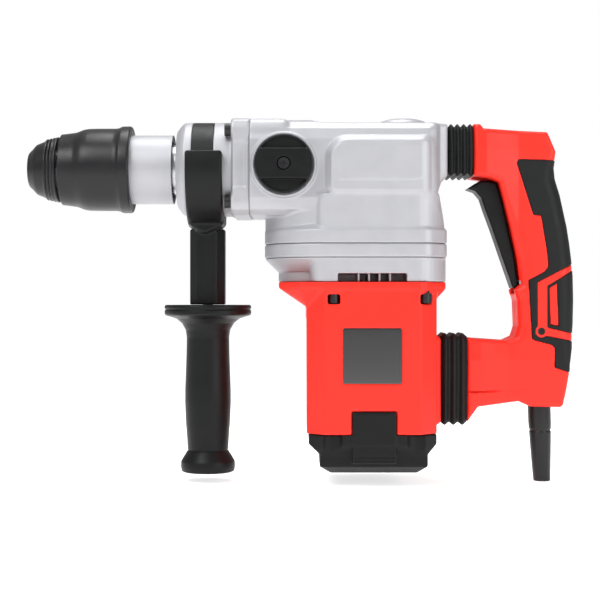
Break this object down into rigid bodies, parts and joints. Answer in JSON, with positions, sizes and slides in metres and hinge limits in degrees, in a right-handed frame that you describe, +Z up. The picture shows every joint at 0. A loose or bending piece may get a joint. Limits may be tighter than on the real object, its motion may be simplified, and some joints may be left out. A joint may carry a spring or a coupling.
{
  "type": "rotary hammer",
  "caption": "Corded L-shaped rotary hammer with a sliding-sleeve chuck, swivelling side handle, sprung D handle and the drive train inside.",
  "frame": {"origin": "mouth of the steel tool bore, on the tool axis", "axes": "-X points out of the chuck along the tool axis, +Z is up with the motor hanging down, and the mode knob is on the -Y side"},
  "size_m": [0.4324, 0.107, 0.2889],
  "materials": {
    "cast_aluminium": "satin cast and machined",
    "steel": "ground steel",
    "black_steel": "black oxide",
    "spring_steel": "oiled spring steel",
    "copper": "varnished copper",
    "carbon": "pressed carbon",
    "red_plastic": "satin moulded red",
    "black_plastic": "fine-textured black",
    "gloss_black": "glossy black, blank",
    "black_rubber": "satin black rubber",
    "chuck_rubber": "smooth satin black rubber",
    "fan_plastic": "moulded black nylon"
  },
  "bodies": {
    "root": {"front_barrel": "cast_aluminium", "crank_housing": "cast_aluminium", "gear_case": "cast_aluminium", "bearing_bracket": "cast_aluminium", "motor_housing": "red_plastic", "end_cap": "black_plastic", "badge_plate": "gloss_black", "grease_cap": "cast_aluminium", "cover_screws": "black_steel", "motor_screws": "black_steel", "stator_core": "steel", "field_windings": "copper", "brush_holders": "black_plastic", "carbon_brushes": "carbon", "shaft_bearings": "steel", "spindle_bearing": "steel", "spindle_bush": "steel", "bellows_upper": "black_rubber", "bellows_lower": "black_rubber", "damper_pins": "steel", "damper_springs": "spring_steel"},
    "armature": {"armature_shaft": "steel", "armature_core": "steel", "armature_windings": "copper", "commutator": "copper", "cooling_fan": "fan_plastic"},
    "crank": {"crank_shaft": "steel", "crank_gear": "steel"},
    "intermediate": {"intermediate_shaft": "steel", "intermediate_gear": "steel"},
    "spindle": {"cylinder": "steel", "bevel_gear": "steel", "tool_holder": "steel", "locking_rollers": "steel", "nose_cap": "chuck_rubber", "sleeve_spring": "spring_steel"},
    "sleeve": {"locking_sleeve": "black_plastic"},
    "piston": {"piston": "steel", "piston_seal": "black_rubber", "wrist_pin": "steel"},
    "connecting_rod": {"connecting_rod": "steel"},
    "striker": {"striker": "steel", "striker_seal": "black_rubber"},
    "impact_bolt": {"impact_bolt": "steel"},
    "mode_switch": {"mode_knob": "black_plastic", "mode_shaft": "steel", "mode_screw": "black_steel"},
    "handle": {"handle_left": "red_plastic", "handle_right": "red_plastic", "grip_rubber": "black_rubber", "handle_screws": "black_steel", "switch_module": "black_plastic", "trigger_pin": "steel", "strain_relief": "black_rubber"},
    "trigger": {"trigger": "black_plastic"},
    "side_handle": {"strap_clamp": "black_plastic", "side_cradle": "black_plastic", "clamp_bolt": "steel"},
    "side_grip": {"side_grip": "black_plastic", "grip_nut": "steel"}
  },
  "joints": [
    {"name": "crank_spin", "type": "hinge", "parent": "root", "child": "crank", "pos_m": [0.2941, 0, 0], "axis": [0, 0, 1], "continuous": true},
    {"name": "armature_spin", "type": "hinge", "parent": "root", "child": "armature", "pos_m": [0.2676, 0, 0], "axis": [0, 0, 1], "continuous": true},
    {"name": "intermediate_spin", "type": "hinge", "parent": "root", "child": "intermediate", "pos_m": [0.2281, 0, 0], "axis": [0, 0, 1], "continuous": true},
    {"name": "spindle_spin", "type": "hinge", "parent": "root", "child": "spindle", "pos_m": [0, 0, 0], "axis": [1, 0, 0], "continuous": true},
    {"name": "sleeve_slide", "type": "slide", "parent": "spindle", "child": "sleeve", "axis": [1, 0, 0], "range_m": [0, 0.008], "stiffness_N_per_m": 1500, "springref_m": -0.004, "deforming": ["sleeve_spring"]},
    {"name": "piston_slide", "type": "slide", "parent": "root", "child": "piston", "axis": [-1, 0, 0], "range_m": [0, 0.026]},
    {"name": "rod_swing", "type": "hinge", "parent": "piston", "child": "connecting_rod", "pos_m": [0.2471, 0, 0], "axis": [0, 0, 1], "range_deg": [-12, 12]},
    {"name": "striker_slide", "type": "slide", "parent": "root", "child": "striker", "axis": [1, 0, 0], "range_m": [-0.003, 0.024]},
    {"name": "impact_bolt_slide", "type": "slide", "parent": "root", "child": "impact_bolt", "axis": [-1, 0, 0], "range_m": [0, 0.008]},
    {"name": "mode_knob_turn", "type": "hinge", "parent": "root", "child": "mode_switch", "pos_m": [0.1996, 0, 0], "axis": [0, 1, 0], "range_deg": [-90, 90]},
    {"name": "handle_slide", "type": "slide", "parent": "root", "child": "handle", "axis": [-1, 0, 0], "range_m": [0, 0.005], "stiffness_N_per_m": 6000, "springref_m": -0.003, "deforming": ["bellows_upper", "bellows_lower", "damper_springs"]},
    {"name": "trigger_pull", "type": "hinge", "parent": "handle", "child": "trigger", "pos_m": [0.387, 0, -0.09], "axis": [0, 1, 0], "range_deg": [0, 6], "stiffness_Nm_per_rad": 1.5, "springref_deg": -11.46},
    {"name": "side_handle_swivel", "type": "hinge", "parent": "root", "child": "side_handle", "pos_m": [0.1384, 0, 0], "axis": [1, 0, 0], "continuous": true},
    {"name": "side_grip_turn", "type": "hinge", "parent": "side_handle", "child": "side_grip", "pos_m": [0.1384, 0, -0.15], "axis": [0, 0, 1], "range_deg": [0, 720]}
  ],
  "couplings": [
    {"joint": "armature_spin", "follows": "crank_spin", "ratio": -5.625},
    {"joint": "intermediate_spin", "follows": "crank_spin", "ratio": 0.6338},
    {"joint": "spindle_spin", "follows": "crank_spin", "ratio": -0.15845}
  ]
}
